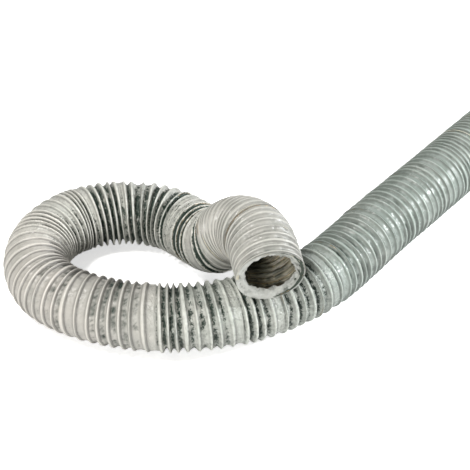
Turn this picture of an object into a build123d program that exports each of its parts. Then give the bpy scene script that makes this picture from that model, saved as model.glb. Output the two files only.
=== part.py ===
from build123d import *
import os
from math import cos, pi, radians, sin, tan

# Flexible air duct, nominal 100 mm: a strip of PVC film wound on one spring-steel wire.
# Each turn of the film is a bead lapped over the wire, with a pleat between it and the next.
# The duct lies in a loop on the floor, and its open mouth rests across its own run.
# X is to the right, Y is away, Z is up, and the floor is at Z = 0.

# ---- sizes, in millimetres ----
BORE = 101.0            # inside the drawn-out end, to slip over a 100 mm spigot
WIRE = 1.2              # spring-steel wire
WIRE_INSET = 0.1        # how far the wire stands back from the bore
WIRE_PLAY = 0.3         # room between the wire and the film round it
FILM = 0.35             # PVC film
BEAD_WALL = 0.9         # film and lap strip outside the wire
BEAD_SIDE = 0.7         # film and lap strip beside the wire
FLANK = 1.1             # run of a pleat's side along the duct
LEAST_FLOOR = 0.4       # shortest pleat floor on the inside of a bend
FOOT_FLAT = 0.5         # depth of the flat that each bead has on the floor
MOUTH_GAP = 3.6         # between the mouth stretch and the run that carries it
LIP = 8.0               # film folded inward at the mouth
CUFF = 18.0             # film drawn out flat beyond the last turn of wire
JOIN_GAP = 0.3          # between one stretch of the film and the next
WIRE_GAP = 1.0          # between one stretch of the wire and the next

WIRE_R = BORE / 2 + WIRE_INSET + WIRE / 2
CREST_R = WIRE_R + WIRE / 2 + WIRE_PLAY + BEAD_WALL
BARE_R = BORE / 2 + FILM
BEAD_W = WIRE + 2 * WIRE_PLAY + 2 * BEAD_SIDE
LYING = CREST_R - FOOT_FLAT
CLIMB = 2 * CREST_R + MOUTH_GAP
LEAST_PLEAT = CREST_R - BARE_R
ALONG = PositionMode.LENGTH

# ---- the duct's route, from its mouth to its cut end ----
# x, y and how far the axis has climbed from lying on the floor (0) to lying on the run (1)
ROUTE = [
    (200, -147, 0.95), (193, -112, 1.0), (182, -74, 1.0), (165, -40, 0.92), (144, -12, 0.75),
    (120, 13, 0.51), (95, 40, 0.26), (68, 72, 0.09), (36, 107, 0.01), (-12, 131, 0),
    (-66, 135, 0), (-118, 115, 0), (-156, 73, 0), (-171, 18, 0), (-157, -37, 0),
    (-118, -79, 0), (-64, -107, 0), (-3, -124, 0), (62, -129, 0), (126, -118, 0),
    (184, -94, 0), (236, -58, 0), (284, -14, 0), (330, 36, 0), (378, 95, 0),
    (430, 157, 0), (482, 221, 0), (536, 287, 0), (592, 357, 0), (690, 480, 0),
]
ORIGIN = (231.6, 136.8)   # middle of the whole duct, seen from above, in the route's x and y

# ---- the lay of the duct: stretch, turns of wire, pitch and pleat depth ----
LAY = [
    ("mouth", 7, 10.2, 2.6), ("mouth_bellows", 7, 10.2, 2.8), ("bend", 6, 11.0, 3.0),
    ("rise", 10, 11.8, 3.4), ("back", 15, 12.6, 6.5), ("shoulder", 12, 12.2, 4.2),
    ("left", 13, 12.0, 2.8), ("heel", 10, 13.5, 3.4), ("front", 13, 15.0, 7.5),
    ("crossing", 11, 13.6, 5.0), ("run_bend", 7, 13.0, 2.8), ("run", 12, 12.8, 2.6),
    ("run_bellows", 7, 12.8, 2.6), ("cut_end", 6, 12.8, 2.6),
]
UNEVEN_PITCH = 0.2      # how much the turns' spacing wanders, as a share of the pitch
UNEVEN_PLEAT = 0.35     # how much the pleats' depth wanders
CALM_TURNS = 3          # turns at the cut end that are drawn out evenly

# one unbroken wire runs through all the stretches that keep their places together
WIRES = [
    ("mouth", "mouth", "mouth_bellows"), ("mouth_bellows", "mouth_bellows", "bend"),
    ("bend", "bend", "rise"), ("rise", "rise", "back"), ("back", "back", "left"),
    ("left", "left", "front"), ("front", "front", "run_bend"),
    ("run_bend", "run_bend", "run"), ("run", "run", "run_bellows"),
    ("run_bellows", "run_bellows", "cut_end"), ("cut_end", "cut_end", "end"),
]

corners = [Vector(x - ORIGIN[0], y - ORIGIN[1], LYING + up * CLIMB) for x, y, up in ROUTE]
radii = []
for before, here, after in zip(corners, corners[1:], corners[2:]):
    turn = radians((here - before).get_angle(after - here))
    shorter = min((here - before).length, (after - here).length)
    radii.append(0.45 * shorter / tan(turn / 2))
print("bend radii", [round(r) for r in radii])

with BuildLine() as route_line:
    FilletPolyline(*corners, radius=radii)
route = route_line.wires()[0]

# ---- places of the turns along the route ----
first_turn = {}
pitches = []
pleats = []
turns = sum(count for _, count, _, _ in LAY)
for name, count, pitch, pleat in LAY:
    first_turn[name] = len(pitches)
    for i in range(len(pitches), len(pitches) + count):
        calm = min(1.0, max(0, turns - CALM_TURNS - i) / CALM_TURNS)
        wander = (sin(2.3 * i) + sin(0.9 * i + 1.0) + sin(4.1 * i + 0.5)) / 3
        pitches.append(pitch * (1 + UNEVEN_PITCH * calm * wander))
        swell = sin(1.7 * i + 0.4) * sin(0.6 * i)
        pleats.append(max(LEAST_PLEAT, pleat * calm * (1 + UNEVEN_PLEAT * swell)))
first_turn["end"] = turns
crests = [BEAD_W / 2]
for pitch in pitches + [pitches[-1]] * 7:
    crests.append(crests[-1] + pitch)
pleats += [LEAST_PLEAT] * 7
CUT = crests[turns] + BEAD_W
print("turns", turns, "cut at", round(CUT), "of", round(route.length), "mm of route")


def beside(s, radius, turn):
    """Point so far along the route and so far out, on its left at whole turns, right at half."""
    heading = route.tangent_at(s, position_mode=ALONG)
    left = Vector(0, 0, 1).cross(heading).normalized()
    return route.position_at(s, position_mode=ALONG) + left * (radius * cos(2 * pi * turn))


def spread(s, turn):
    """How long the duct's skin is for each millimetre of its axis: on this side, and on the
    tighter one of its top and its underside."""
    after = route.tangent_at(s + 2, position_mode=ALONG)
    before = route.tangent_at(max(s - 2, 0), position_mode=ALONG)
    bend = (after - before) / (s + 2 - max(s - 2, 0))
    left = Vector(0, 0, 1).cross(before).normalized()
    sideways = CREST_R * bend.dot(left) * cos(2 * pi * turn)
    upright = CREST_R * abs(bend.dot(before.cross(left)))
    return 1 - sideways, 1 - upright


def turn_at(turn):
    """Length along the route that turn number turn, whole or not, has reached."""
    i = int(turn)
    return crests[i] + (turn - i) * (crests[i + 1] - crests[i])


def half_turn(a, b, turn):
    """Half circle from a, on one side of the duct, to b on the other, half a turn later."""
    heading = route.tangent_at(turn_at(turn + 0.25), position_mode=ALONG)
    rise = (b - a).cross(heading).normalized() * (b - a).length / 2
    return Edge.make_three_point_arc(a, (a + b) / 2 + rise, b)


# ---- the film ----
def profile(turn, inner):
    """Four points where the film has wound so many turns: across its bead, then along the
    floor of the pleat behind it. The duct's left is at whole turns, its right at half ones."""
    here = turn_at(turn)
    following = turn_at(turn + 1)
    k_here, tight_here = spread(here, turn)
    k_next, tight_next = spread(following, turn)
    room = (following - here) * min(k_here + k_next, tight_here + tight_next) / 2
    flank = min(FLANK, (room - BEAD_W - LEAST_FLOOR) / 2)
    top = (BEAD_W / 2 - (BEAD_SIDE if inner else 0)) / k_here
    foot = BEAD_W / 2 + flank - (FILM if inner else 0)
    if turn < turns:
        pleat = (pleats[int(turn)] + pleats[int(turn + 0.5)]) / 2
        crest_r = CREST_R - (BEAD_WALL if inner else 0)
        floor_r = CREST_R - pleat - (FILM if inner else 0)
    else:
        crest_r = floor_r = BARE_R - (FILM if inner else 0)
    return [
        beside(here - top, crest_r, turn),
        beside(here + top, crest_r, turn),
        beside(here + foot / k_here, floor_r, turn),
        beside(following - foot / k_next, floor_r, turn),
    ]


def film_lines(first, last, inner):
    """The film's half turns, above and below, from bead first to bead last, and the points
    of its left side where one turn follows the other."""
    left = []
    right = []
    for i in range(first, last + 2):
        left += profile(i, inner)
        right += profile(i + 0.5, inner)
    count = 4 * (last - first)
    # it stops a gap before the next stretch, and its free edges clear the seam
    left[count] += (left[count - 1] - left[count]).normalized() * JOIN_GAP
    right[count] += (right[count - 1] - right[count]).normalized() * JOIN_GAP
    left[count + 4] += (left[count + 3] - left[count + 4]).normalized() * JOIN_GAP
    over = [p + Vector(0, 0, JOIN_GAP / 2) if j < 4 else p for j, p in enumerate(left)]
    under = [p - Vector(0, 0, JOIN_GAP / 2) if j > count else p for j, p in enumerate(left)]
    upper = []
    lower = []
    for j in range(count + 1):
        bead = first + (j + 1) // 4
        upper.append(half_turn(over[j], right[j], bead))
        lower.append(half_turn(right[j], under[j + 4], bead + 0.5))
    return upper, lower, over[:5], under[count:count + 5]


def lip_lines(inner):
    """Edge of the film folded inward in front of the first bead: its half turns."""
    ahead = BEAD_W / 2 - (FILM if inner else 0)
    near, across, far = [
        beside(turn_at(turn) - ahead, CREST_R - LIP, turn) for turn in (0, 0.5, 1)
    ]
    near += Vector(0, 0, JOIN_GAP / 2)
    far -= Vector(0, 0, JOIN_GAP / 2)
    return half_turn(near, across, 0), half_turn(across, far, 0.5), near, far


def ruled(lines):
    return [Face.make_surface_from_curves(a, b) for a, b in zip(lines, lines[1:])]


def strip(points):
    return [Edge.make_line(a, b) for a, b in zip(points, points[1:])]


def film_solid(first, last, lip=False):
    """Closed skin of the film: ruled walls outside and inside, joined along its edges."""
    upper_o, lower_o, start_o, end_o = film_lines(first, last, False)
    upper_i, lower_i, start_i, end_i = film_lines(first, last, True)
    rims = list(zip(strip(start_o) + strip(end_o), strip(start_i) + strip(end_i)))
    if lip:
        above_o, below_o, near_o, far_o = lip_lines(False)
        above_i, below_i, near_i, far_i = lip_lines(True)
        rims += zip(strip([near_o, start_o[0]]), strip([near_i, start_i[0]]))
        rims += zip(strip([far_o, start_o[4]]), strip([far_i, start_i[4]]))
        upper_o.insert(0, above_o)
        lower_o.insert(0, below_o)
        upper_i.insert(0, above_i)
        lower_i.insert(0, below_i)
    for outside, inside in ((upper_o, upper_i), (lower_o, lower_i)):
        rims += [(outside[0], inside[0]), (outside[-1], inside[-1])]
    faces = ruled(upper_o) + ruled(lower_o) + ruled(upper_i) + ruled(lower_i)
    for rim in rims:
        faces += ruled(rim)
    return Solid(Shell(faces))


os.makedirs("parts", exist_ok=True)
cut = Plane(
    origin=route.position_at(CUT, position_mode=ALONG),
    z_dir=route.tangent_at(CUT, position_mode=ALONG),
)
order = [name for name, _, _, _ in LAY] + ["end"]
for name, following in zip(order, order[1:]):
    spare = 3 if following == "end" else 0
    with BuildPart() as film:
        add(film_solid(first_turn[name], first_turn[following] + spare, lip=name == "mouth"))
        if following == "end":
            split(bisect_by=cut, keep=Keep.BOTTOM)
        if film.part.bounding_box().min.Z < 0:
            split(bisect_by=Plane.XY, keep=Keep.TOP)
    film.part.label = "film_" + name
    export_step(film.part, "parts/film_" + name + ".step")


# the film drawn out flat beyond the wire, to slip over a spigot
with BuildPart() as cuff:
    with BuildSketch(cut.offset(JOIN_GAP)):
        Circle(BARE_R)
        Circle(BORE / 2, mode=Mode.SUBTRACT)
    extrude(amount=CUFF)
print("cuff's bore: middle", cut.offset(JOIN_GAP + CUFF / 2).origin, "facing", cut.z_dir)
cuff.part.label = "film_cuff"
export_step(cuff.part, "parts/film_cuff.step")


# ---- the wire ----
for name, first_name, following in WIRES:
    first = first_turn[first_name]
    halves = 2 * (first_turn[following] - first) - (1 if following == "end" else 0)
    stops = [first + half / 2 for half in range(halves + 1)]
    sides = [beside(turn_at(turn), WIRE_R, turn) for turn in stops]
    slip = Vector(0, 0, WIRE_GAP / 2)
    sides[0] += slip
    sides[-1] -= slip * cos(2 * pi * stops[-1])
    with BuildPart() as wire:
        with BuildLine() as turns_line:
            for a, b, turn in zip(sides, sides[1:], stops):
                add(half_turn(a, b, turn))
        coil = turns_line.wires()[0]
        with BuildSketch(Plane(origin=coil @ 0, z_dir=coil % 0)):
            Circle(WIRE / 2)
        sweep(path=coil)
    least = min((b - a).length for a, b in zip(sides, sides[2:])) - WIRE
    print("wire", name, "least gap to itself", round(least, 2), "mm, volume",
          round(wire.part.volume), "against", round(coil.length * pi * WIRE * WIRE / 4))
    wire.part.label = "wire_" + name
    export_step(wire.part, "parts/wire_" + name + ".step")
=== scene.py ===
# %% [markdown]
# A flexible air duct is a long strip of thin plastic film, wound into a tube
# round a spring of steel wire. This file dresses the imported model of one: it
# lies in a loose loop, one end raised, the other running away to its cut end.
# Everything below is one idea used again and again: a surface is a function of
# two numbers, worked out for a whole grid at once with numpy.

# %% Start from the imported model
import bpy
import numpy as np
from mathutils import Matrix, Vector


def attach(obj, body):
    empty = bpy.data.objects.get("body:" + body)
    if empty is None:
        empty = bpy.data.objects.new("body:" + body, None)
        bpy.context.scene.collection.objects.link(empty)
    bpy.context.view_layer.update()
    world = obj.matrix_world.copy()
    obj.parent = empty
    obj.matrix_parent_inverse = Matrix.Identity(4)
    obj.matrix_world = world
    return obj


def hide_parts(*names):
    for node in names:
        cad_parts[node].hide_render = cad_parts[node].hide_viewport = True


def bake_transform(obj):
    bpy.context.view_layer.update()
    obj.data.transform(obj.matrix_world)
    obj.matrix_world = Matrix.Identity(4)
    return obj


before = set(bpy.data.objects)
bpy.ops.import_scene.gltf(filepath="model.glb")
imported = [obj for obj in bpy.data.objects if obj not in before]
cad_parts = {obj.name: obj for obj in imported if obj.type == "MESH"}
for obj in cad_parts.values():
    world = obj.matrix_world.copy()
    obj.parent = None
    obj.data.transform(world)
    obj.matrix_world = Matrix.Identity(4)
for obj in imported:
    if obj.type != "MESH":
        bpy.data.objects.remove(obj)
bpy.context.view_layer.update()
MM = 0.001

# %% [markdown]
# The camera comes first, because every later choice is judged through it. It
# looks down at the floor at 39 degrees through a long lens, so that the far
# end of the duct is hardly smaller than the near one.

# %% Camera
LOOKS_DOWN = 39  # degrees
camera_data = bpy.data.cameras.new("camera")
camera_data.lens = 120
camera_data.sensor_width = 36
camera_data.clip_end = 50
camera = bpy.data.objects.new("camera", camera_data)
camera.location = (-0.08479, -2.04853, 1.66474)
camera.rotation_euler = (np.radians(90 - LOOKS_DOWN), 0, 0)
bpy.context.scene.collection.objects.link(camera)
bpy.context.scene.camera = camera
print("camera at", [round(v, 2) for v in camera.location], "m, looking down", LOOKS_DOWN, "degrees")

# %% [markdown]
# The route is the line down the middle of the duct: thirty points that a
# smooth curve is drawn towards. It comes down from the raised mouth, goes once
# round the loop on the floor, passes under the mouth and runs away behind.
# Blender's NURBS spline of order 3 gives the smooth line, and a curve with no
# bevel turns into a mesh whose vertices are points along that line.

# %% Route
ROUTE = [
    (-0.0316, -0.2838, 0.1555), (-0.038, -0.2488, 0.1618), (-0.0455, -0.2108, 0.163),
    (-0.061, -0.1768, 0.1575), (-0.084, -0.1478, 0.14), (-0.112, -0.13, 0.096),
    (-0.135, -0.083, 0.069), (-0.162, -0.042, 0.0565), (-0.197, -0.011, 0.0525),
    (-0.2436, 0.0022, 0.0525), (-0.2976, 0.0006, 0.0525), (-0.351, -0.0182, 0.0525),
    (-0.391, -0.0602, 0.0525), (-0.406, -0.1174, 0.0525), (-0.3926, -0.1756, 0.0525),
    (-0.3516, -0.2162, 0.0525), (-0.2956, -0.242, 0.0525), (-0.2346, -0.2576, 0.0525),
    (-0.1696, -0.261, 0.0525), (-0.1056, -0.251, 0.0525), (-0.0476, -0.2318, 0.0525),
    (0.0044, -0.201, 0.0525), (0.0545, -0.16, 0.0525), (0.0997, -0.105, 0.0525),
    (0.1464, -0.0418, 0.0525), (0.1984, 0.0202, 0.0525), (0.2504, 0.0842, 0.0525),
    (0.3044, 0.1502, 0.0525), (0.3604, 0.2202, 0.0525), (0.4584, 0.3432, 0.0525),
]


def smooth_line(points):
    """The vertices of a NURBS spline of order 3 that starts and ends at its end points."""
    curve = bpy.data.curves.new("route", "CURVE")
    curve.dimensions = "3D"
    spline = curve.splines.new("NURBS")
    spline.points.add(len(points) - 1)
    spline.points.foreach_set("co", [v for p in points for v in (*p, 1)])
    spline.order_u = 3
    spline.use_endpoint_u = True
    spline.resolution_u = 60
    holder = bpy.data.objects.new("route", curve)
    bpy.context.scene.collection.objects.link(holder)
    graph = bpy.context.evaluated_depsgraph_get()
    mesh = bpy.data.meshes.new_from_object(holder.evaluated_get(graph))
    line = np.empty(len(mesh.vertices) * 3)
    mesh.vertices.foreach_get("co", line)
    bpy.data.objects.remove(holder)
    return line.reshape(-1, 3)


LINE = smooth_line(ROUTE)
REACH = np.concatenate([[0], np.cumsum(np.linalg.norm(np.diff(LINE, axis=0), axis=1))])
print(f"the route is {REACH[-1]:.3f} m long")

# %% [markdown]
# A tube needs to know, at any distance along its route, where the middle is,
# which way it heads, and which way is left and up. Those are tables with a row
# for each millimetre. The heading is averaged over a few centimetres, because
# a duct full of springy wire doesn't turn a corner in one step. With them, any
# point of a ring is one short formula, which every piece below uses.

# %% Tables along the route
STEP = 1 * MM
EASING = 12  # stations to each side over which the heading is averaged
STATIONS = np.arange(0, REACH[-1], STEP)
AXIS = np.stack([np.interp(STATIONS, REACH, LINE[:, k]) for k in range(3)], axis=1)


def averaged(table, width):
    """Each row becomes the mean of the rows within width millimetres round it."""
    padded = np.concatenate([np.repeat(table[:1], width, 0), table, np.repeat(table[-1:], width, 0)])
    kernel = np.ones(2 * width + 1) / (2 * width + 1)
    return np.stack([np.convolve(padded[:, k], kernel, "valid") for k in range(table.shape[1])], axis=1)


def unit(table):
    """Each row divided by its own length."""
    return table / np.linalg.norm(table, axis=-1, keepdims=True)


HEADING = unit(averaged(unit(np.gradient(AXIS, axis=0)), EASING))
LEFT = unit(np.cross((0, 0, 1), HEADING))
CROWN = np.cross(HEADING, LEFT)


def at(table, distance):
    """A table's row at any distance along the route, blended between its two nearest rows."""
    k = np.clip(distance / STEP, 0, len(table) - 1.001)
    low = k.astype(int)
    share = (k - low)[..., None]
    return table[low] * (1 - share) + table[low + 1] * share


def ring_point(distance, angle, radius):
    """A point of a ring round the route: middle + radius (left cos angle + up sin angle)."""
    outwards = at(LEFT, distance) * np.cos(angle)[..., None] + at(CROWN, distance) * np.sin(angle)[..., None]
    return at(AXIS, distance) + outwards * np.asarray(radius)[..., None]


print(f"{len(STATIONS)} stations, a millimetre apart")

# %% [markdown]
# The wire makes 136 turns, and its turns aren't evenly spaced: whoever laid the
# duct down pulled some stretches open and left others bunched up. The list
# below says how far along the route each turn passes, in millimetres, on the
# side where it is easiest to see. A second table says which side that is, as a
# part of a turn counted from the left over the top. The first turn and the last
# are closed on themselves, as where a duct is cut square.

# %% Where each turn of the wire lies
MOUTH_AT, CUT_AT = 1.6, 1739
TURNS_AT = [
    MOUTH_AT, 10, 17.5, 27, 39, 52, 66, 78, 87.5, 97, 107, 116, 123.8, 131.6, 139.4, 147.2, 155, 162.8,
    170.6, 178.3, 186, 195, 205, 228, 241, 261, 278, 297, 317, 330, 349, 365, 380, 400, 418, 429,
    443, 453, 466, 479, 491, 507, 514, 521, 529, 545, 560, 575, 583, 592, 601, 612, 628, 645, 660,
    676, 691, 703.5, 714.5, 727.5, 743.5, 758, 770, 789, 807.5, 822.5, 837.5, 852.5, 868, 885.5,
    908, 919, 930.5, 942.5, 958, 974.5, 989, 1005, 1025.5, 1038, 1049, 1063, 1082.5, 1097.5, 1111,
    1126, 1141, 1156.5, 1176.5, 1194.5, 1206.5, 1219.5, 1230, 1242.5, 1257, 1269.5, 1283, 1298.5,
    1315.5, 1332.5, 1347.5, 1358.5, 1371, 1383, 1396.5, 1410, 1425, 1439, 1451, 1461.5, 1474, 1489,
    1504, *np.linspace(1519, CUT_AT, 24),
]
TURNS = len(TURNS_AT) - 1
SEEN_FROM = np.array([
    # mm, part of a turn
    (0, 0.25), (180, 0.2), (230, 0.08), (380, 0.08), (400, 0.35), (540, 0.35), (680, 0.3), (900, 0.38),
])
SEEN_AT = np.interp(TURNS_AT, SEEN_FROM[:, 0], SEEN_FROM[:, 1])
INNER = slice(2, TURNS - 1)
FIRST_ENDS, LAST_ENDS = MOUTH_AT + 0.6, CUT_AT + 0.4
TURN_KNOTS = np.concatenate([[0, 1], (np.arange(TURNS + 1) + SEEN_AT)[INNER], [TURNS, TURNS + 1]])
TURN_PLACES = np.concatenate([[MOUTH_AT, FIRST_ENDS], TURNS_AT[INNER], [CUT_AT, LAST_ENDS]]) * MM


def turn_place(turn):
    """How far along the route the wire is after that many turns."""
    return np.interp(turn, TURN_KNOTS, TURN_PLACES)


print(TURNS, "turns, from", TURN_PLACES[0], "to", TURN_PLACES[-1], "m")

# %% [markdown]
# Crumpled film has no pattern, but it isn't noise like sand either: it has folds
# of a few sizes. Each size comes from the same helper, which sets a random
# height on the corners of a square net and runs smoothly between them. The
# random heights come from whole-number arithmetic, so they are the same each run.


# %% Folds of any size
def folds(x, y, seed):
    """Heights from -1 to 1: random on whole numbers of x and y, and blended by 3t²-2t³ between."""
    i, j = np.floor(x).astype(np.int64), np.floor(y).astype(np.int64)
    u, v = x - i, y - j
    u, v = u * u * (3 - 2 * u), v * v * (3 - 2 * v)

    def corner(a, b):
        key = (a * 374761393 + b * 668265263 + seed * 974634777) & 0x7FFFFFFF
        key = ((key ^ (key >> 13)) * 1274126177) & 0x7FFFFFFF
        return ((key ^ (key >> 16)) & 0xFFFF) / 32767.5 - 1

    low = corner(i, j) * (1 - u) + corner(i + 1, j) * u
    high = corner(i, j + 1) * (1 - u) + corner(i + 1, j + 1) * u
    return low * (1 - v) + high * v


def creases(x, y, seed):
    """Sharp ridges from 0 to 1: one minus the size of a fold's height, which peaks where it crosses 0."""
    return 1 - np.minimum(1, 2.2 * np.abs(folds(x, y, seed)))


SAMPLE = folds(np.arange(50) * 0.37, np.arange(50) * 0.11, 3)
print("fifty heights of folds run from", SAMPLE.min().round(2), "to", SAMPLE.max().round(2))

# %% [markdown]
# How far the film falls in between two turns of wire depends on how close they
# are: it is the same strip of film everywhere, so where the turns are pulled
# open it is nearly flat, and where they are bunched it folds in deep. Along the
# duct the film was also handled differently, so more numbers change with the
# distance: how deep the folds may go, how sharp they are, how creased the film
# is, how far its creases slant, and how cool its colour has turned. They are
# given at a few places and run evenly between them. Along the back, where the
# film sprang flat between some turns and not between others, it is listed turn
# by turn. The rings too aren't quite true: they lean, wander and swell a little.

# %% How the film lies along the duct
DEPTH, SHARPNESS, CREASING, SLANT, COOLNESS = 1, 2, 3, 4, 5
HANDLING = np.array([
    # mm, depth in mm, sharpness, creasing, slant, coolness
    (0, 2.6, 2.6, 0.8, 0, 0.3), (60, 2.8, 2.6, 1.0, 0, 0.3), (110, 2.6, 2.4, 0.9, 0, 0.25),
    (140, 1.7, 2.2, 0.4, 0, 0.2), (188, 1.7, 2.0, 0.4, 0, 0.3), (196, 7.5, 1.5, 0.9, 0, 0.3),
    (400, 7.5, 1.5, 0.9, 0, 0.4), (560, 7.5, 1.5, 0.9, 0, 0.3), (610, 7.0, 1.6, 0.9, 0, 0.15),
    (650, 4.0, 2.2, 0.8, 0, 0.05), (691, 2.5, 2.4, 1.0, 0.3, 0), (740, 2.7, 2.5, 1.1, 0.9, 0),
    (768, 3.0, 2.6, 1.0, 1, 0.05), (888, 3.8, 2.4, 1.0, 1, 0.25), (913, 6.6, 1.4, 1.1, 0.3, 0.45),
    (1135, 6.4, 1.5, 1.1, 0.2, 0.7), (1170, 4.6, 1.6, 0.9, 0.2, 0.9), (1205, 3.3, 1.8, 0.7, 0.2, 1),
    (1287, 2.9, 2.4, 0.6, 0.3, 0.9), (1338, 2.3, 3.4, 0.6, 0.4, 1), (1450, 2.0, 4.0, 0.6, 0.4, 1),
    (1770, 1.9, 4.0, 0.6, 0.4, 0.9),
])
BACK_FROM = 21  # the turn that the back's list starts with
BACK_FOLDS = [
    1, 0.08, 1, 0.85, 0.85, 0.12, 0.08, 1, 0.7, 0.95, 1, 0.8, 0.85, 1, 0.4, 1, 0.85, 1, 0.9, 0.15, 1, 1, 1,
    0.2, 0.15, 0.2, 0.8, 1, 1, 0.6, 0.12, 0.15, 0.25, 0.2, 0.25,
]
SIDE, TOP = 1, 2
LEAN = np.array([
    # mm, how far the side leans in mm, how far the top leans in mm
    (0, 0, 0), (170, 0, 0), (200, 0, 10), (245, 0, 8), (290, 2, 0), (340, 5, -3), (420, 5, -3),
    (560, 3, 0), (620, 0, 0), (1770, 0, 0),
])
DRAWN_OUT = 21.5  # mm between turns at which the film is flat
GAPS = np.diff(np.array([*TURNS_AT, LAST_ENDS]))
SLACK = np.clip((DRAWN_OUT - GAPS) / 6.5, 0.1, 1.25)
SLACK[BACK_FROM:BACK_FROM + len(BACK_FOLDS)] = BACK_FOLDS
WANDER, WANDER_FADE = 1.4 * MM, 30 * MM
WANDER_FROM, WANDER_TO = 8 * MM, 1719 * MM
FULLER, UNEVEN = 1.2 * MM, 0.5 * MM
FULLER_FROM, FULLER_ALL = 780 * MM, 900 * MM


def handled(distance, column):
    """One column of the handling table at any distance along the route."""
    return np.interp(distance, HANDLING[:, 0] * MM, HANDLING[:, column])


def slack_at(turn):
    """How slack the strip after a turn is: the same all round, changing to the next in a third of a turn."""
    t = np.clip(turn + 0.15, 0, TURNS - 1)
    k = t.astype(int)
    share = np.clip((t - k - 0.67) / 0.33, 0, 1)
    return SLACK[k] * (1 - share) + SLACK[np.minimum(k + 1, TURNS - 1)] * share


def ring_place(turn, distance):
    """Where along the route a point of a turn really is: each ring leans and wanders a little."""
    angle = 2 * np.pi * (turn % 1)
    side = np.interp(distance, LEAN[:, 0] * MM, LEAN[:, SIDE]) * MM
    top = np.interp(distance, LEAN[:, 0] * MM, LEAN[:, TOP]) * MM
    wander = WANDER * folds(turn * 2.78, 0 * turn, 11)
    wander = wander * np.clip((distance - WANDER_FROM) / WANDER_FADE, 0, 1)
    wander = wander * np.clip((WANDER_TO - distance) / WANDER_FADE, 0, 1)
    return distance + wander - side * np.cos(angle) - top * np.sin(angle)


def ring_swell(turn, distance):
    """How far a ring stands out or in, so that no two are of a size: fuller from the loop's front on."""
    fuller = np.interp(distance, [FULLER_FROM, FULLER_ALL], [0, FULLER])
    return fuller + UNEVEN * (folds(turn * 4.76, distance / 0.05, 9) - 0.6)


print("the film falls in by", HANDLING[:, DEPTH].min(), "to", HANDLING[:, DEPTH].max(), "mm")

# %% [markdown]
# Now the surface. Its first number, turn, counts turns of the wire and their
# parts, so it also says where on the ring a point is. Its second number goes
# across the strip of film, from one pass of the wire to the next. Thirteen
# rows cross each strip: five follow the round bead over the wire, and eight
# the fold between. The next strip starts where this one ends, so the whole
# duct is one grid wound on itself, with no seam anywhere.

# %% The grid, and how it crosses the strip
COLUMNS = 144
ROWS = 13
BEAD = 53.0 * MM
SHOULDER = 52.75 * MM
BEAD_FOOT = 51.9 * MM
FOLD_STEPS = ROWS - 4
ROUND = 2 * np.pi * BEAD


def across_strip(row, gap):
    """Rows 0, 1 and the last lie on the bead, and rows 2 to 11 run evenly from its foot to the next one's.
    The results are the distance across, the part of the fold that is crossed, and the bead's radius."""
    size = np.minimum(1, gap / (6 * MM))
    shoulder, foot = 1.0 * MM * size, 1.7 * MM * size
    part = np.clip((row - 2) / FOLD_STEPS, 0, 1)
    across = np.choose(np.minimum(row, 2), [0 * gap, shoulder, foot + (gap - 2 * foot) * part])
    across = np.where(row == ROWS - 1, gap - shoulder, across)
    bead = np.choose(np.minimum(row, 2), [BEAD + 0 * gap, SHOULDER + 0 * gap, BEAD_FOOT + 0 * gap])
    return across, part, np.where(row == ROWS - 1, SHOULDER, bead)


def bead_gap(turn, start, end):
    """How far apart two passes of the wire are on this side of the duct: less on the inside of a bend."""
    angle = 2 * np.pi * (turn % 1)
    return np.linalg.norm(ring_point(end, angle, BEAD) - ring_point(start, angle, BEAD), axis=-1)


print("a turn of film is a grid of", COLUMNS, "by", ROWS)

# %% [markdown]
# Between the beads the film falls inwards. Its depth is a sum of a few plain
# things: a fold whose lowest line wanders, more of it on the inside of a bend,
# a dive or a slot just before the next turn, and a groove along each bead.

# %% How far the film falls in
DEEPEST = 8.5 * MM
DIVE = 4.2 * MM
SLOT = 6 * MM
SLOTS_ALONG = np.array([
    # m along the route, how much of a slot
    (0.188, 0), (0.196, 1), (0.31, 1), (0.35, 0),
])
GROOVE = 0.7 * MM


def peak(part, row, steepness=1.0, height=1.0):
    """Height at one row of the fold, counted from its start, and less by steepness for each row away."""
    return np.clip(height - steepness * abs(part * FOLD_STEPS - row), 0, None)


def slot_share(part, middle, slack):
    """Where the duct climbs, the film hangs flat and then drops into a slot before the next turn."""
    share = np.interp(middle, SLOTS_ALONG[:, 0], SLOTS_ALONG[:, 1]) * np.clip((slack - 0.5) / 0.3, 0, 1)
    return share * np.clip(peak(part, 7.5, 0.8, 2.2), 0, 1)


def fold_shape(x, part, sharp):
    """1-(1-s)^sharp, where s runs from 0 at each bead to 1 at the fold's lowest line, which wanders."""
    bottom = 0.5 + 0.17 * folds(x / 0.013, 0 * x, 1) + 0.09 * folds(x / 0.006, 0 * x, 2)
    side = np.where(part < bottom, part / bottom, (1 - part) / (1 - bottom))
    return 1 - (1 - np.clip(side, 0, 1)) ** sharp


def film_drop(x, row, part, gap, middle, slack, squeeze, slot):
    """The fold, depth times slack times shape, deeper where it is squeezed, with dive, slot and groove."""
    depth, creasing = handled(middle, DEPTH), handled(middle, CREASING)
    shape = fold_shape(x, part, handled(middle, SHARPNESS))
    uneven = 1 + 0.28 * folds(x / 0.011, 0 * x, 4) + 0.16 * folds(x / 0.0045, 0 * x, 5) * creasing
    drop = depth * MM * slack * shape * uneven * np.clip(1 + 1.2 * squeeze, 0.2, 1.6)
    drop += 0.55 * gap * np.clip(squeeze, 0, 0.6) * shape * uneven * (gap > 4 * MM)
    flat = np.clip(0.6 - slack, 0, 0.5) / 0.5
    drop += DIVE * flat * peak(part, 8) * np.clip((depth - 1.5) / 3, 0, 1)
    drop = np.minimum(drop * (1 - 0.45 * slot) + SLOT * slot, DEEPEST)
    return drop + GROOVE * np.clip(1 - abs(row - 3), 0, 1) * np.minimum(1, gap / (9 * MM))


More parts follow.
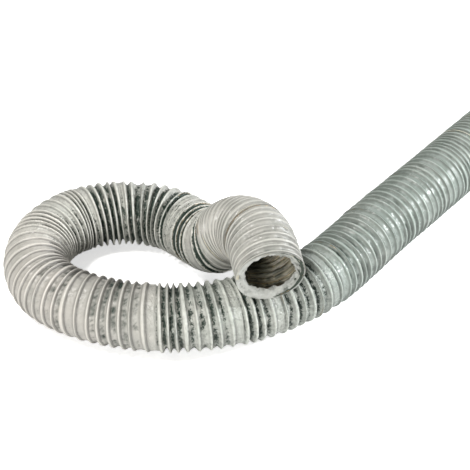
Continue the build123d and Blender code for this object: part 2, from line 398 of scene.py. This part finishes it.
def film_creases(x, y, part, middle):
    """Creases between the beads, nothing on them: some run any way, some slant across the strip."""
    creasing, slant = handled(middle, CREASING), handled(middle, SLANT)
    rise = np.sin(np.pi * part)
    sharp = creases((x + slant * y) / 0.0065, (y - 0.5 * slant * x) / 0.0052, 6)
    soft = folds(x / 0.0042, y / 0.0031, 7)
    slanted = creases((x + y) / 0.0085, (x - y) / 0.03, 8)
    return creasing * rise * (0.75 * sharp + 0.45 * soft + 1.4 * slant * slanted) * MM


print("folds are at most", round(DEEPEST / MM, 1), "mm deep")

# %% [markdown]
# The film is then one function. Besides its point it gives each vertex four
# numbers for the materials: how deep in a fold it is, which sets the painted
# shade there, how much painted highlight or painted shadow its row gets (a
# painted highlight along the bead, a painted shadow at its foot), how cool its
# colour is, and how crumpled the film is there.

# %% The film as a surface
# For each row of the strip: above 0 is a painted highlight on the bead, below 0 a painted shadow at its foot
# and before the next bead.
BEAD_LIGHT_AND_SHADE = np.array([2.3, 1.6, -1.2, -3.2, -1.0, 0, 0, 0, 0, -0.2, -1.2, -1.4, 1.2])  # one for each row


def film(turn, row):
    """The ring's point at its radius: the bead's, less the fall of the film, less its creases."""
    angle = 2 * np.pi * (turn % 1)
    start, end = turn_place(turn), turn_place(turn + 1)
    gap = end - start
    across, part, bead = across_strip(row, gap)
    middle = start + across
    x, y = turn * ROUND, across
    slack = slack_at(turn)
    squeeze = 1 - bead_gap(turn, start, end) / np.maximum(gap, 0.1 * MM)
    slot = slot_share(part, middle, slack)
    drop = film_drop(x, row, part, gap, middle, slack, squeeze, slot)
    radius = bead - drop - film_creases(x, y, part, middle) * np.minimum(1, gap / (9 * MM))
    radius -= 0.35 * MM * handled(middle, CREASING) * np.maximum(0, folds(x / 0.012, middle / 0.02, 10))
    point = ring_point(ring_place(turn, middle), angle, radius + ring_swell(turn, middle))
    point[..., 2] = np.maximum(point[..., 2], 0)
    # what the materials read: painted shade in the folds, painted highlight and painted shadow by row,
    # coolness and crumpling
    depth = handled(middle, DEPTH)
    rucked = np.clip((depth - 3.2) / 3, 0, 1)
    tight = np.clip((depth - 1.5) / 3, 0, 1)
    # Painted shade: the further the film falls below its bead, the darker it is painted, more so on tight
    # stretches and on the inside of a bend.
    shade = 0.6 + 0.4 * np.maximum(tight, np.clip(1.5 * squeeze, 0, 1))
    fold = np.clip((bead - radius - (0.7 + 1.3 * rucked) * MM) / (4.6 * MM), 0, 1) * shade
    off_bead = np.minimum(1, np.sin(np.pi * part) * 3 + (row == ROWS - 3))
    # Nothing is painted on the bead itself, and each slot is painted dark all through as painted shade.
    fold = np.maximum(fold * off_bead, 2.2 * slot)
    # Painted highlight along each bead and painted shadow beside it, weaker where the beads lie close.
    bead_light_and_shade = BEAD_LIGHT_AND_SHADE[row] * np.minimum(1, gap / (8 * MM))
    return point, fold, bead_light_and_shade, handled(middle, COOLNESS), rucked


START_OF_TURN = film(np.array([110.0]), np.array([0]))[0][0]
print("turn 110 starts at", START_OF_TURN.round(3), "m")

# %% [markdown]
# From points to a mesh: vertices go in as one flat array, faces as another. A
# face joins a point to the next one round, and to the two on the next row. Past
# the last column comes the first column of the next turn, and past the last row
# the first row of the next turn: that is what winds the grid into a helix. The
# lip, the collar and the wire are rings and tubes of their own, and share one
# helper for their faces.


# %% From grids to meshes
def make_mesh(name, points, faces):
    """A mesh object from an array of points and one of faces with four corners each."""
    mesh = bpy.data.meshes.new(name)
    mesh.vertices.add(len(points))
    mesh.vertices.foreach_set("co", points.astype(np.float32).ravel())
    mesh.loops.add(faces.size)
    mesh.loops.foreach_set("vertex_index", faces.astype(np.int32).ravel())
    mesh.polygons.add(len(faces))
    mesh.polygons.foreach_set("loop_start", np.arange(0, faces.size, faces.shape[1], dtype=np.int32))
    mesh.polygons.foreach_set("use_smooth", np.ones(len(faces), dtype=bool))
    mesh.update(calc_edges=True)
    mesh.validate()
    piece = bpy.data.objects.new(name, mesh)
    bpy.context.scene.collection.objects.link(piece)
    return piece


def grid_faces(rows, columns, closed_rows=False, closed_columns=False):
    """The faces of a grid of points, rows by columns; a closed direction joins its end to its start."""
    i, j = np.meshgrid(
        np.arange(rows if closed_rows else rows - 1), np.arange(columns if closed_columns else columns - 1),
        indexing="ij",
    )
    next_i, next_j = (i + 1) % rows, (j + 1) % columns
    corners = [i * columns + j, next_i * columns + j, next_i * columns + next_j, i * columns + next_j]
    return np.stack(corners, axis=-1).reshape(-1, 4)


def note(piece, name, values):
    """Writes one number for each vertex, for the materials to read."""
    attribute = piece.data.attributes.new(name, "FLOAT", "POINT")
    attribute.data.foreach_set("value", np.asarray(values, dtype=np.float32).ravel())


def film_piece(name, first, last):
    """The film from one turn to another, as one mesh, with the four numbers that its materials read."""
    turns = np.arange(first, last + 2)
    n, r, c = np.meshgrid(turns, np.arange(ROWS), np.arange(COLUMNS), indexing="ij")
    points, fold, bead_light_and_shade, cool, rucked = film(n + c / COLUMNS, r)

    def index(n, r, c):
        n, c = n + c // COLUMNS, c % COLUMNS
        n, r = n + r // ROWS, r % ROWS
        return ((n - first) * ROWS + r) * COLUMNS + c

    n, r, c = np.meshgrid(np.arange(first, last), np.arange(ROWS), np.arange(COLUMNS), indexing="ij")
    corners = [index(n, r, c + 1), index(n, r + 1, c + 1), index(n, r + 1, c), index(n, r, c)]
    faces = np.stack(corners, axis=-1).reshape(-1, 4)
    used = np.unique(faces)
    renumber = np.zeros(points[..., 0].size, dtype=np.int64)
    renumber[used] = np.arange(len(used))
    piece = make_mesh(name, points.reshape(-1, 3)[used], renumber[faces])
    for word, values in (("fold", fold), ("bead_light_and_shade", bead_light_and_shade), ("cool", cool), ("rucked", rucked)):
        note(piece, word, values.ravel()[used])
    print(f"{name}: {last - first} turns, {len(piece.data.polygons)} faces")
    return piece


# %% [markdown]
# The duct moves at four places, so its film is cut into pieces there: the mouth
# draws out and tips up, the run swings and draws out. Between them lies the
# loop, in two pieces.

# %% The film, piece by piece
mouth = film_piece("film_of_mouth", 0, 22)
rise = film_piece("film_of_rise", 22, 31)
loop = film_piece("film_of_loop", 31, 81)
front = film_piece("film_of_front", 81, 98)
elbow = film_piece("film_of_elbow", 98, 106)
run = film_piece("film_of_run", 106, 118)
tail = film_piece("film_of_cut_end", 118, TURNS)
FILM = [mouth, rise, loop, front, elbow, run, tail]

# %% [markdown]
# Under each bead is the spring wire. It is a tube of six sides on the same
# helix, a little smaller, and seen only where one looks into an open end. Where
# the beads lie close together it is drawn thinner, so that it stays inside.


# %% The wire
WIRE_RADIUS = 50.8 * MM
WIRE_THICK = 0.5 * MM
WIRE_FROM, WIRE_TO = 2.9 * MM, 1737.6 * MM
WIRE_STEPS, WIRE_SIDES = 72, 6


def wire_piece(name, first, last):
    """A tube along the helix: the helix's point, plus thick times (outwards cos b + heading sin b)."""
    turn = np.linspace(first, last, (last - first) * WIRE_STEPS + 1)[:, None]
    b = (np.arange(WIRE_SIDES) * 2 * np.pi / WIRE_SIDES)[None, :]
    angle = 2 * np.pi * (turn % 1)
    start = turn_place(turn)
    room = bead_gap(turn, start, turn_place(turn + 1))
    thick = WIRE_THICK * np.clip((room - 3 * MM) / (8 * MM), 0.12, 0.8)
    place = np.clip(ring_place(turn, start), WIRE_FROM, WIRE_TO)
    points = ring_point(place, angle, WIRE_RADIUS + ring_swell(turn, start) + thick * np.cos(b))
    points = points + at(HEADING, place) * (thick * np.sin(b))[..., None]
    faces = grid_faces(len(turn), WIRE_SIDES, closed_columns=True)
    piece = make_mesh(name, points.reshape(-1, 3), faces)
    print(f"{name}: {last - first} turns of wire")
    return piece


wire_mouth = wire_piece("wire_in_mouth", 0, 22)
wire_rise = wire_piece("wire_in_rise", 22, 31)
wire_loop = wire_piece("wire_in_loop", 31, 98)
wire_elbow = wire_piece("wire_in_elbow", 98, 106)
wire_run = wire_piece("wire_in_run", 106, 118)
wire_tail = wire_piece("wire_in_cut_end", 118, TURNS)
WIRES = [wire_mouth, wire_rise, wire_loop, wire_elbow, wire_run, wire_tail]

# %% [markdown]
# At the mouth the cut film is tucked in over the first turn of wire. It makes a
# ragged, crumpled lip that is wider at the bottom than at the top, and stands
# off from the wire on one side. It is a ring of film whose width changes with
# the angle, with its torn inner edge curling down into the duct.


# %% The tucked-in lip
RIM = 52.4  # mm from the middle to the lip's outer edge
RING_NET = 6  # how far the net of the folds runs once round a ring
LIP_COLUMNS, LIP_ROWS = 288, 26
LIP_SHAPE = np.array([
    # degrees from the left over the top, width in mm, how jagged, how far off the wire in mm
    (0, 15, 0.3, 0), (50, 12.5, 0.6, 0), (78, 11, 1, 0), (84, 8, 1, 2.0), (110, 9.5, 1, 3.0),
    (150, 11, 0.9, 4.6), (180, 12, 0.8, 5.2), (210, 14, 0.5, 4.2), (240, 17, 0.3, 2.0), (270, 18, 0.3, 0.4),
    (315, 17, 0.3, 0), (360, 15, 0.3, 0),
])


def lip_piece(name):
    """A ring from the first turn inwards: radius = rim - width(angle) q, pushed in by dip(angle, q)."""
    steps = np.arange(LIP_COLUMNS) * 2 * np.pi / LIP_COLUMNS
    a, q = np.meshgrid(steps, np.linspace(0, 1, LIP_ROWS) ** 1.4, indexing="ij")
    x = a / (2 * np.pi) * RING_NET
    width, jagged, apart = (np.interp(a, np.radians(LIP_SHAPE[:, 0]), LIP_SHAPE[:, k]) for k in (1, 2, 3))
    for size, finer, seed in ((1.5, 3, 21), (0.9, 11, 22), (0.5, 29, 23)):
        width = width + size * folds(x * finer, 0 * q, seed)
    width = width + 2.6 * jagged * creases(x * 8, 0 * q, 28) * np.clip(q * 2 - 0.6, 0, 1)
    radius = RIM - width * q - apart * np.clip(q * 7, 0, 1) * (1 - 0.55 * q)
    ruck = 2.0 * folds(x * 6 + q * 1.4, q * 2.6, 25) + 0.8 * creases(x * 10 - q * 2, q * 3.2, 26)
    ruck = ruck + 0.4 * folds(x * 23, q * 6, 27)
    dip = 0.4 + 3.4 * q ** 1.5 + apart * 1.1 * np.sin(np.pi * np.clip(q * 1.25, 0, 1))
    dip = dip + 10.4 * np.clip(q - 0.75, 0, 1) * (0.6 + 0.6 * folds(x * 7, 0 * q, 24))
    dip = dip + ruck * np.clip(q * 4, 0, 1) - np.sin(np.pi * q) * (1 - np.clip(apart / 4, 0, 1))
    points = ring_point((1.4 + dip) * MM, a, radius * MM)
    piece = make_mesh(name, points.reshape(-1, 3), grid_faces(LIP_COLUMNS, LIP_ROWS, closed_rows=True))
    # Painted shade: dark in the gap where the lip stands off the wire, and on the crumples that dip deepest.
    painted_gap_shade = 0.5 * np.clip(apart / 5, 0, 1) * (q < 0.35)
    painted_gap_shade = painted_gap_shade + 0.9 * np.clip(apart / 3.5, 0, 1) * (q > 0.05) * (q < 0.13)
    note(piece, "fold", 0.45 * np.clip(ruck - 0.3, 0, 1) + painted_gap_shade)
    print(f"{name}: {len(piece.data.polygons)} faces")
    return piece


lip = lip_piece("tucked_lip")

# %% [markdown]
# The cut end is finished with a plain collar of film, which is what a joining
# spigot slides into. Film is thin but it does have two sides. Where a duct is
# open one sees both, so the pieces at its two ends, and the lip, get a wall
# with the Solidify modifier. Its inner side takes the second material, which
# is the yellower lining; the lip's second material is its own pale film.


# %% The collar at the cut end
COLLAR_FROM, COLLAR_LONG, COLLAR_RADIUS = 1738.6, 21.9, 51.3  # mm
COLLAR_COLUMNS, COLLAR_ROWS = 192, 12
WALL = 0.15 * MM


def collar_piece(name):
    """A short sleeve: a ring's point at angle a and distance start + length q, a little creased."""
    steps = np.arange(COLLAR_COLUMNS) * 2 * np.pi / COLLAR_COLUMNS
    a, q = np.meshgrid(steps, np.linspace(0, 1, COLLAR_ROWS), indexing="ij")
    x = a / (2 * np.pi) * RING_NET
    place = COLLAR_FROM + COLLAR_LONG * q + 0.35 * q * folds(x * 5, 0 * q, 31)
    radius = COLLAR_RADIUS - 0.25 * creases(x * 4 + q, q * 2, 32) * np.sin(np.pi * q) + 1.2 * (1 - q) ** 6
    points = ring_point(place * MM, a, radius * MM)
    points[..., 2] = np.maximum(points[..., 2], 0)
    piece = make_mesh(name, points.reshape(-1, 3), grid_faces(COLLAR_COLUMNS, COLLAR_ROWS, closed_rows=True))
    note(piece, "cool", 0 * q + 0.9)
    return piece


collar = collar_piece("collar_of_cut_end")
for piece in (mouth, lip, tail, collar):
    wall = piece.modifiers.new("wall", "SOLIDIFY")
    wall.thickness = WALL
    wall.offset = -1
    wall.material_offset = 1
    wall.use_rim = True
print("walls of", round(WALL / MM, 2), "mm on the open ends")

# %% [markdown]
# The film is soft plastic, pale grey-green, and no two parts of it look quite
# alike: it is warmer near the mouth, mottled where it was squeezed, and shiny on
# its tight stretches; on top of that it is painted dark down in its folds and
# beside its beads as painted shade, and lighter along its beads as a painted
# highlight. All of that is one node group, used by the outer film, the lip and
# the lining with values of their own. A few helpers make its nodes, so that a
# sum of nodes reads like a sum.


# %% Helpers for materials
def add(tree, kind, **settings):
    """A node of a kind, with its settings by name."""
    made = tree.nodes.new(kind)
    for key, value in settings.items():
        setattr(made, key, value)
    return made


def math_node(tree, operation, first, second=None, clamp=False):
    """A Math node: first and second are sockets or plain numbers."""
    made = add(tree, "ShaderNodeMath", operation=operation, use_clamp=clamp)
    for socket, value in zip(made.inputs, (first, second)):
        if value is None:
            continue
        if isinstance(value, (int, float)):
            socket.default_value = value
        else:
            tree.links.new(value, socket)
    return made.outputs[0]


def total(tree, *values):
    """The sum of sockets and plain numbers."""
    so_far = values[0]
    for value in values[1:]:
        so_far = math_node(tree, "ADD", so_far, value)
    return so_far


def product(tree, *values):
    """The product of sockets and plain numbers."""
    so_far = values[0]
    for value in values[1:]:
        so_far = math_node(tree, "MULTIPLY", so_far, value)
    return so_far


def swing(tree, value, strength):
    """A noise's height turned to run evenly below and above 0, times a strength."""
    return product(tree, math_node(tree, "SUBTRACT", value, 0.5), strength)


def mix_colours(tree, share, first, second, blend="MIX"):
    """A Mix node for colours: share, first and second are sockets or plain values."""
    made = add(tree, "ShaderNodeMix", data_type="RGBA", blend_type=blend)
    for socket, value in ((made.inputs[0], share), (made.inputs[6], first), (made.inputs[7], second)):
        if isinstance(value, (int, float)):
            socket.default_value = value
        elif isinstance(value, tuple):
            socket.default_value = (*value, 1)
        else:
            tree.links.new(value, socket)
    return made.outputs[2]


def noise(tree, vector, scale, detail=3, rough=0.55, distortion=0.0):
    """A Noise Texture's height, on the given coordinates."""
    made = add(tree, "ShaderNodeTexNoise")
    made.inputs["Scale"].default_value = scale
    made.inputs["Detail"].default_value = detail
    made.inputs["Roughness"].default_value = rough
    made.inputs["Distortion"].default_value = distortion
    tree.links.new(vector, made.inputs["Vector"])
    return made.outputs["Fac"]


def ramp(tree, value, low, high):
    """Runs evenly from 0 at low to 1 at high, and stays there."""
    made = add(tree, "ShaderNodeMapRange", clamp=True)
    made.inputs["From Min"].default_value = low
    made.inputs["From Max"].default_value = high
    tree.links.new(value, made.inputs["Value"])
    return made.outputs["Result"]


HELPERS = (add, math_node, total, product, swing, mix_colours, noise, ramp)
print("nodes are made by", ", ".join(helper.__name__ for helper in HELPERS))

# %% [markdown]
# The group takes the two colours of the film, the colour of the painted shade
# in its folds, and four numbers that each piece carries on its vertices: how
# much painted shade a point gets in a fold, how much painted highlight or
# painted shadow its row gets, how cool its colour is and how crumpled it is.
# Noise of three sizes on Object coordinates mottles it, and with a fourth, the
# finest, and a net of warped cells it makes the creases that the bump shows.


# %% The film's node group
def crumpled_net(tree, where):
    """0 along the edges of warped cells and 1 inside them, as creases run in crushed film."""
    push = add(tree, "ShaderNodeTexNoise")
    push.inputs["Scale"].default_value = 60
    tree.links.new(where, push.inputs["Vector"])
    warped = add(tree, "ShaderNodeVectorMath", operation="MULTIPLY_ADD")
    warped.inputs[1].default_value = (0.018, 0.018, 0.018)
    tree.links.new(push.outputs["Color"], warped.inputs[0])
    tree.links.new(where, warped.inputs[2])
    cells = add(tree, "ShaderNodeTexVoronoi", feature="DISTANCE_TO_EDGE")
    cells.inputs["Scale"].default_value = 150
    tree.links.new(warped.outputs[0], cells.inputs["Vector"])
    return ramp(tree, cells.outputs["Distance"], 0.0, 0.16)


def film_group():
    """Named inputs and outputs; colour, roughness and height that change over the film."""
    tree = bpy.data.node_groups.new("film_of_duct", "ShaderNodeTree")
    for name, kind, value in (
        ("Near Colour", "NodeSocketColor", (0.6, 0.57, 0.5, 1)),
        ("Far Colour", "NodeSocketColor", (0.4, 0.46, 0.42, 1)),
        ("Fold Colour", "NodeSocketColor", (0.03, 0.045, 0.035, 1)),
        ("Painted Shade", "NodeSocketFloat", 0.0), ("Bead Light And Shade", "NodeSocketFloat", 0.0), ("Cool", "NodeSocketFloat", 0.0),
        ("Rucked", "NodeSocketFloat", 0.0), ("Mottle", "NodeSocketFloat", 1.0),
    ):
        tree.interface.new_socket(name, in_out="INPUT", socket_type=kind).default_value = value
    for name, kind in (("Colour", "Color"), ("Roughness", "Float"), ("Height", "Float")):
        tree.interface.new_socket(name, in_out="OUTPUT", socket_type="NodeSocket" + kind)
    given = add(tree, "NodeGroupInput").outputs
    result = add(tree, "NodeGroupOutput").inputs
    where = add(tree, "ShaderNodeTexCoord").outputs["Object"]
    patches = noise(tree, where, 22, 3, 0.5)
    blotches = noise(tree, where, 95, 4, 0.6, 0.6)
    wrinkles = noise(tree, where, 170, 2, 0.5, 2.2)
    grain = noise(tree, where, 420, 3, 0.6)
    creased = crumpled_net(tree, where)
    wild = total(tree, product(tree, given["Rucked"], 0.72), 0.28)
    # colour: near to far, lighter and darker by its blotches and its crumpling, and by its row as a painted
    # highlight on the bead and a painted shadow at its foot
    far = math_node(tree, "ADD", given["Cool"], swing(tree, patches, 0.5), True)
    colour = mix_colours(tree, far, given["Near Colour"], given["Far Colour"])
    spread = product(tree, swing(tree, blotches, given["Mottle"]), wild, 0.8)
    painted_bead_light_and_shade, by_crumpling = product(tree, given["Bead Light And Shade"], 0.2), product(tree, given["Rucked"], 0.36)
    lighter = total(tree, spread, painted_bead_light_and_shade, by_crumpling, 1.0)
    grey = add(tree, "ShaderNodeCombineColor")
    for socket in grey.inputs:
        tree.links.new(lighter, socket)
    colour = mix_colours(tree, 1.0, colour, grey.outputs[0], "MULTIPLY")
    # then painted shade in the folds, with an edge that the wrinkles make ragged
    ragged = product(tree, swing(tree, wrinkles, given["Rucked"]), -3.0)
    fold = ramp(tree, math_node(tree, "ADD", given["Painted Shade"], ragged, True), 0.3, 0.85)
    fold = product(tree, fold, ramp(tree, given["Painted Shade"], 0.1, 0.35))
    tree.links.new(mix_colours(tree, fold, colour, given["Fold Colour"]), result["Colour"])
    # finish: cool stretches shine more than warm ones, and folds least
    warm = math_node(tree, "SUBTRACT", 1.0, given["Cool"])
    uneven = product(tree, blotches, 0.26)
    rough = total(tree, product(tree, fold, 0.25), product(tree, warm, 0.13), uneven, 0.1)
    tree.links.new(rough, result["Roughness"])
    crumpling = product(tree, total(tree, product(tree, creased, 0.6), product(tree, wrinkles, 0.9)), wild)
    height = total(tree, crumpling, product(tree, grain, 0.05), product(tree, blotches, 0.7))
    tree.links.new(height, result["Height"])
    return tree


FILM_GROUP = film_group()


def film_material(name, near, far, fold_shade_colour, mottle=1.0, bump=0.5, specular=0.5):
    """A Principled material whose colour, roughness and bump come from the film's group."""
    material = bpy.data.materials.new(name)
    material.use_nodes = True
    tree = material.node_tree
    tree.nodes.clear()
    group = add(tree, "ShaderNodeGroup", node_tree=FILM_GROUP)
    for socket, colour in (("Near Colour", near), ("Far Colour", far), ("Fold Colour", fold_shade_colour)):
        group.inputs[socket].default_value = (*colour, 1)
    group.inputs["Mottle"].default_value = mottle
    for socket, word in (("Painted Shade", "fold"), ("Bead Light And Shade", "bead_light_and_shade"), ("Cool", "cool"), ("Rucked", "rucked")):
        reader = add(tree, "ShaderNodeAttribute", attribute_name=word)
        tree.links.new(reader.outputs["Fac"], group.inputs[socket])
    relief = add(tree, "ShaderNodeBump")
    relief.inputs["Strength"].default_value = bump
    relief.inputs["Distance"].default_value = 1.4 * MM
    tree.links.new(group.outputs["Height"], relief.inputs["Height"])
    shader = add(tree, "ShaderNodeBsdfPrincipled")
    shader.inputs["IOR"].default_value = 1.54
    shader.inputs["Specular IOR Level"].default_value = specular
    tree.links.new(group.outputs["Colour"], shader.inputs["Base Color"])
    tree.links.new(group.outputs["Roughness"], shader.inputs["Roughness"])
    tree.links.new(relief.outputs["Normal"], shader.inputs["Normal"])
    out = add(tree, "ShaderNodeOutputMaterial")
    tree.links.new(shader.outputs[0], out.inputs["Surface"])
    print("material", name)
    return material


# The third colour of each film material is the painted shade that fills its folds.
WARM_GREY, COOL_GREEN, FOLD_SHADE_GREEN = (0.465, 0.445, 0.41), (0.25, 0.29, 0.262), (0.014, 0.032, 0.021)
PALE_GREY, FOLD_SHADE_GREY = (0.5, 0.51, 0.475), (0.03, 0.045, 0.03)
YELLOWED, DULL_YELLOW, FOLD_SHADE_OLIVE = (0.62, 0.57, 0.43), (0.6, 0.58, 0.46), (0.03, 0.04, 0.028)
outer_film = film_material("grey_green_film", WARM_GREY, COOL_GREEN, FOLD_SHADE_GREEN, bump=0.8, specular=0.6)
lip_film = film_material("pale_lip_film", PALE_GREY, PALE_GREY, FOLD_SHADE_GREY, mottle=1.2, bump=0.9)
lining = film_material("yellowed_lining", YELLOWED, DULL_YELLOW, FOLD_SHADE_OLIVE, mottle=1.4, bump=0.6)

# %% [markdown]
# The wire is drawn steel with a thin copper wash, gone brown in places. Noise
# on Object coordinates says where, and the browner it is the less it shines.


# %% Wire material
COPPERED, TARNISHED = (0.5, 0.38, 0.24), (0.24, 0.17, 0.1)


def wire_material():
    """Metal, with a brown tarnish that comes and goes along the wire."""
    material = bpy.data.materials.new("coppered_wire")
    material.use_nodes = True
    tree = material.node_tree
    shader = tree.nodes["Principled BSDF"]
    where = add(tree, "ShaderNodeTexCoord").outputs["Object"]
    tarnish = ramp(tree, noise(tree, where, 130, 4, 0.6), 0.35, 0.7)
    tree.links.new(mix_colours(tree, tarnish, COPPERED, TARNISHED), shader.inputs["Base Color"])
    tree.links.new(total(tree, 0.3, product(tree, tarnish, 0.3)), shader.inputs["Roughness"])
    shader.inputs["Metallic"].default_value = 1.0
    return material


wire_finish = wire_material()
for piece in FILM + [collar]:
    piece.data.materials.append(outer_film)
    piece.data.materials.append(lining)
lip.data.materials.append(lip_film)
lip.data.materials.append(lip_film)
for piece in WIRES:
    piece.data.materials.append(wire_finish)
print("finishes on", len(FILM) + len(WIRES) + 2, "pieces")

# %% [markdown]
# The pieces of the loop, the run, the lip and the collar ride on the body they
# belong to, and every piece stands for the plain solids that the imported model
# has there, which are hidden. The pieces across a joint stay where they are drawn.


# %% Which piece moves with what
def middle_at(distance):
    """The middle of the duct at a distance in millimetres, as plain numbers."""
    return tuple(float(v) for v in at(AXIS, np.array(distance * MM)))


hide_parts("film_mouth", "film_mouth_bellows", "film_bend")
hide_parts("film_mouth")
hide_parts("wire_mouth", "wire_mouth_bellows", "wire_bend")
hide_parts("film_rise")
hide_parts("wire_rise")
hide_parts("film_back", "film_shoulder", "film_left", "film_heel", "film_front")
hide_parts("film_crossing")
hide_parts("wire_back", "wire_left", "wire_front")
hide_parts("film_run_bend")
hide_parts("wire_run_bend")
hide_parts("film_run")
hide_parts("wire_run")
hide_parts("film_run_bellows", "film_cut_end")
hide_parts("wire_run_bellows", "wire_cut_end")
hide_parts("film_cuff")
for piece in (loop, front, wire_loop):
    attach(piece, "coil")
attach(lip, "mouth_tip")
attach(collar, "run_tip")
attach(run, "run")
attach(wire_run, "run")
for piece in (mouth, wire_mouth):
    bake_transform(piece)
for piece in (rise, wire_rise):
    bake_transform(piece)
for piece in (elbow, wire_elbow):
    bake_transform(piece)
for piece in (tail, wire_tail):
    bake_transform(piece)
print("the cut end draws out beyond", [round(v, 3) for v in middle_at(1573.3)], "m")

# %% [markdown]

# %% [markdown]
# The duct lies on a wide pale floor in a white surround. The surround is white
# only to the camera; as a light it is much weaker, so that the duct keeps its
# own colour. The floor glows a little for the camera alone, which keeps it as
# white as the surround and its shadows soft.

# %% Floor and surround
FLOOR_REACH, FLOOR_AT = 6, -0.6 * MM
FLOOR_GLOW = 0.62
SURROUND, SURROUND_SEEN = 0.17, 1.0
corners = [(-1, -1), (1, -1), (1, 1), (-1, 1)]
corners = np.array([(x * FLOOR_REACH, y * FLOOR_REACH, FLOOR_AT) for x, y in corners])
floor = make_mesh("floor", corners, np.array([[0, 1, 2, 3]]))
paper = bpy.data.materials.new("white_paper")
paper.use_nodes = True
tree = paper.node_tree
matt = tree.nodes["Principled BSDF"]
matt.inputs["Base Color"].default_value = (0.9, 0.9, 0.9, 1)
matt.inputs["Roughness"].default_value = 0.9
glow = add(tree, "ShaderNodeEmission")
rays = add(tree, "ShaderNodeLightPath")
tree.links.new(product(tree, rays.outputs["Is Camera Ray"], FLOOR_GLOW), glow.inputs["Strength"])
both = add(tree, "ShaderNodeAddShader")
tree.links.new(matt.outputs[0], both.inputs[0])
tree.links.new(glow.outputs[0], both.inputs[1])
tree.links.new(both.outputs[0], tree.nodes["Material Output"].inputs["Surface"])
floor.data.materials.append(paper)
world = bpy.data.worlds.new("surround")
bpy.context.scene.world = world
world.use_nodes = True
tree = world.node_tree
rays = add(tree, "ShaderNodeLightPath")
extra = product(tree, rays.outputs["Is Camera Ray"], SURROUND_SEEN - SURROUND)
tree.links.new(total(tree, SURROUND, extra), tree.nodes["Background"].inputs["Strength"])
tree.nodes["Background"].inputs["Color"].default_value = (1, 1, 1, 1)
bpy.context.scene.view_settings.view_transform = "Standard"
print("a floor", 2 * FLOOR_REACH, "m wide in a white surround")

# %% [markdown]
# There are four soft lamps. A warm key stands to the left, high up, and a warm
# fill stands low in front. A small one to the right puts the long shine on the
# run, and a weak, broad one behind lifts the far rings off the floor.


# %% Lamps
def lamp(name, place, aim, size, power, colour):
    """A square area lamp at a place, turned towards a point."""
    data = bpy.data.lights.new(name, "AREA")
    data.size = size
    data.energy = power
    data.color = colour
    made = bpy.data.objects.new(name, data)
    made.location = place
    towards = Vector((np.array(aim) - np.array(place)).tolist())
    made.rotation_euler = towards.to_track_quat("-Z", "Y").to_euler()
    bpy.context.scene.collection.objects.link(made)
    print("lamp", name, power, "W")


lamp("key", (-1.15, -0.8, 2.35), (-0.1, -0.1, 0), 0.4, 46, (1, 0.985, 0.955))
lamp("front", (-0.9, -2.3, 1.0), (0, -0.2, 0.1), 0.6, 24, (1, 0.99, 0.96))
lamp("right", (2.1, -0.1, 1.0), (0.1, -0.1, 0.05), 0.26, 56, (0.97, 0.985, 1))
lamp("back", (0.2, 1.9, 1.6), (0, 0, 0), 1.2, 9, (1, 1, 1))
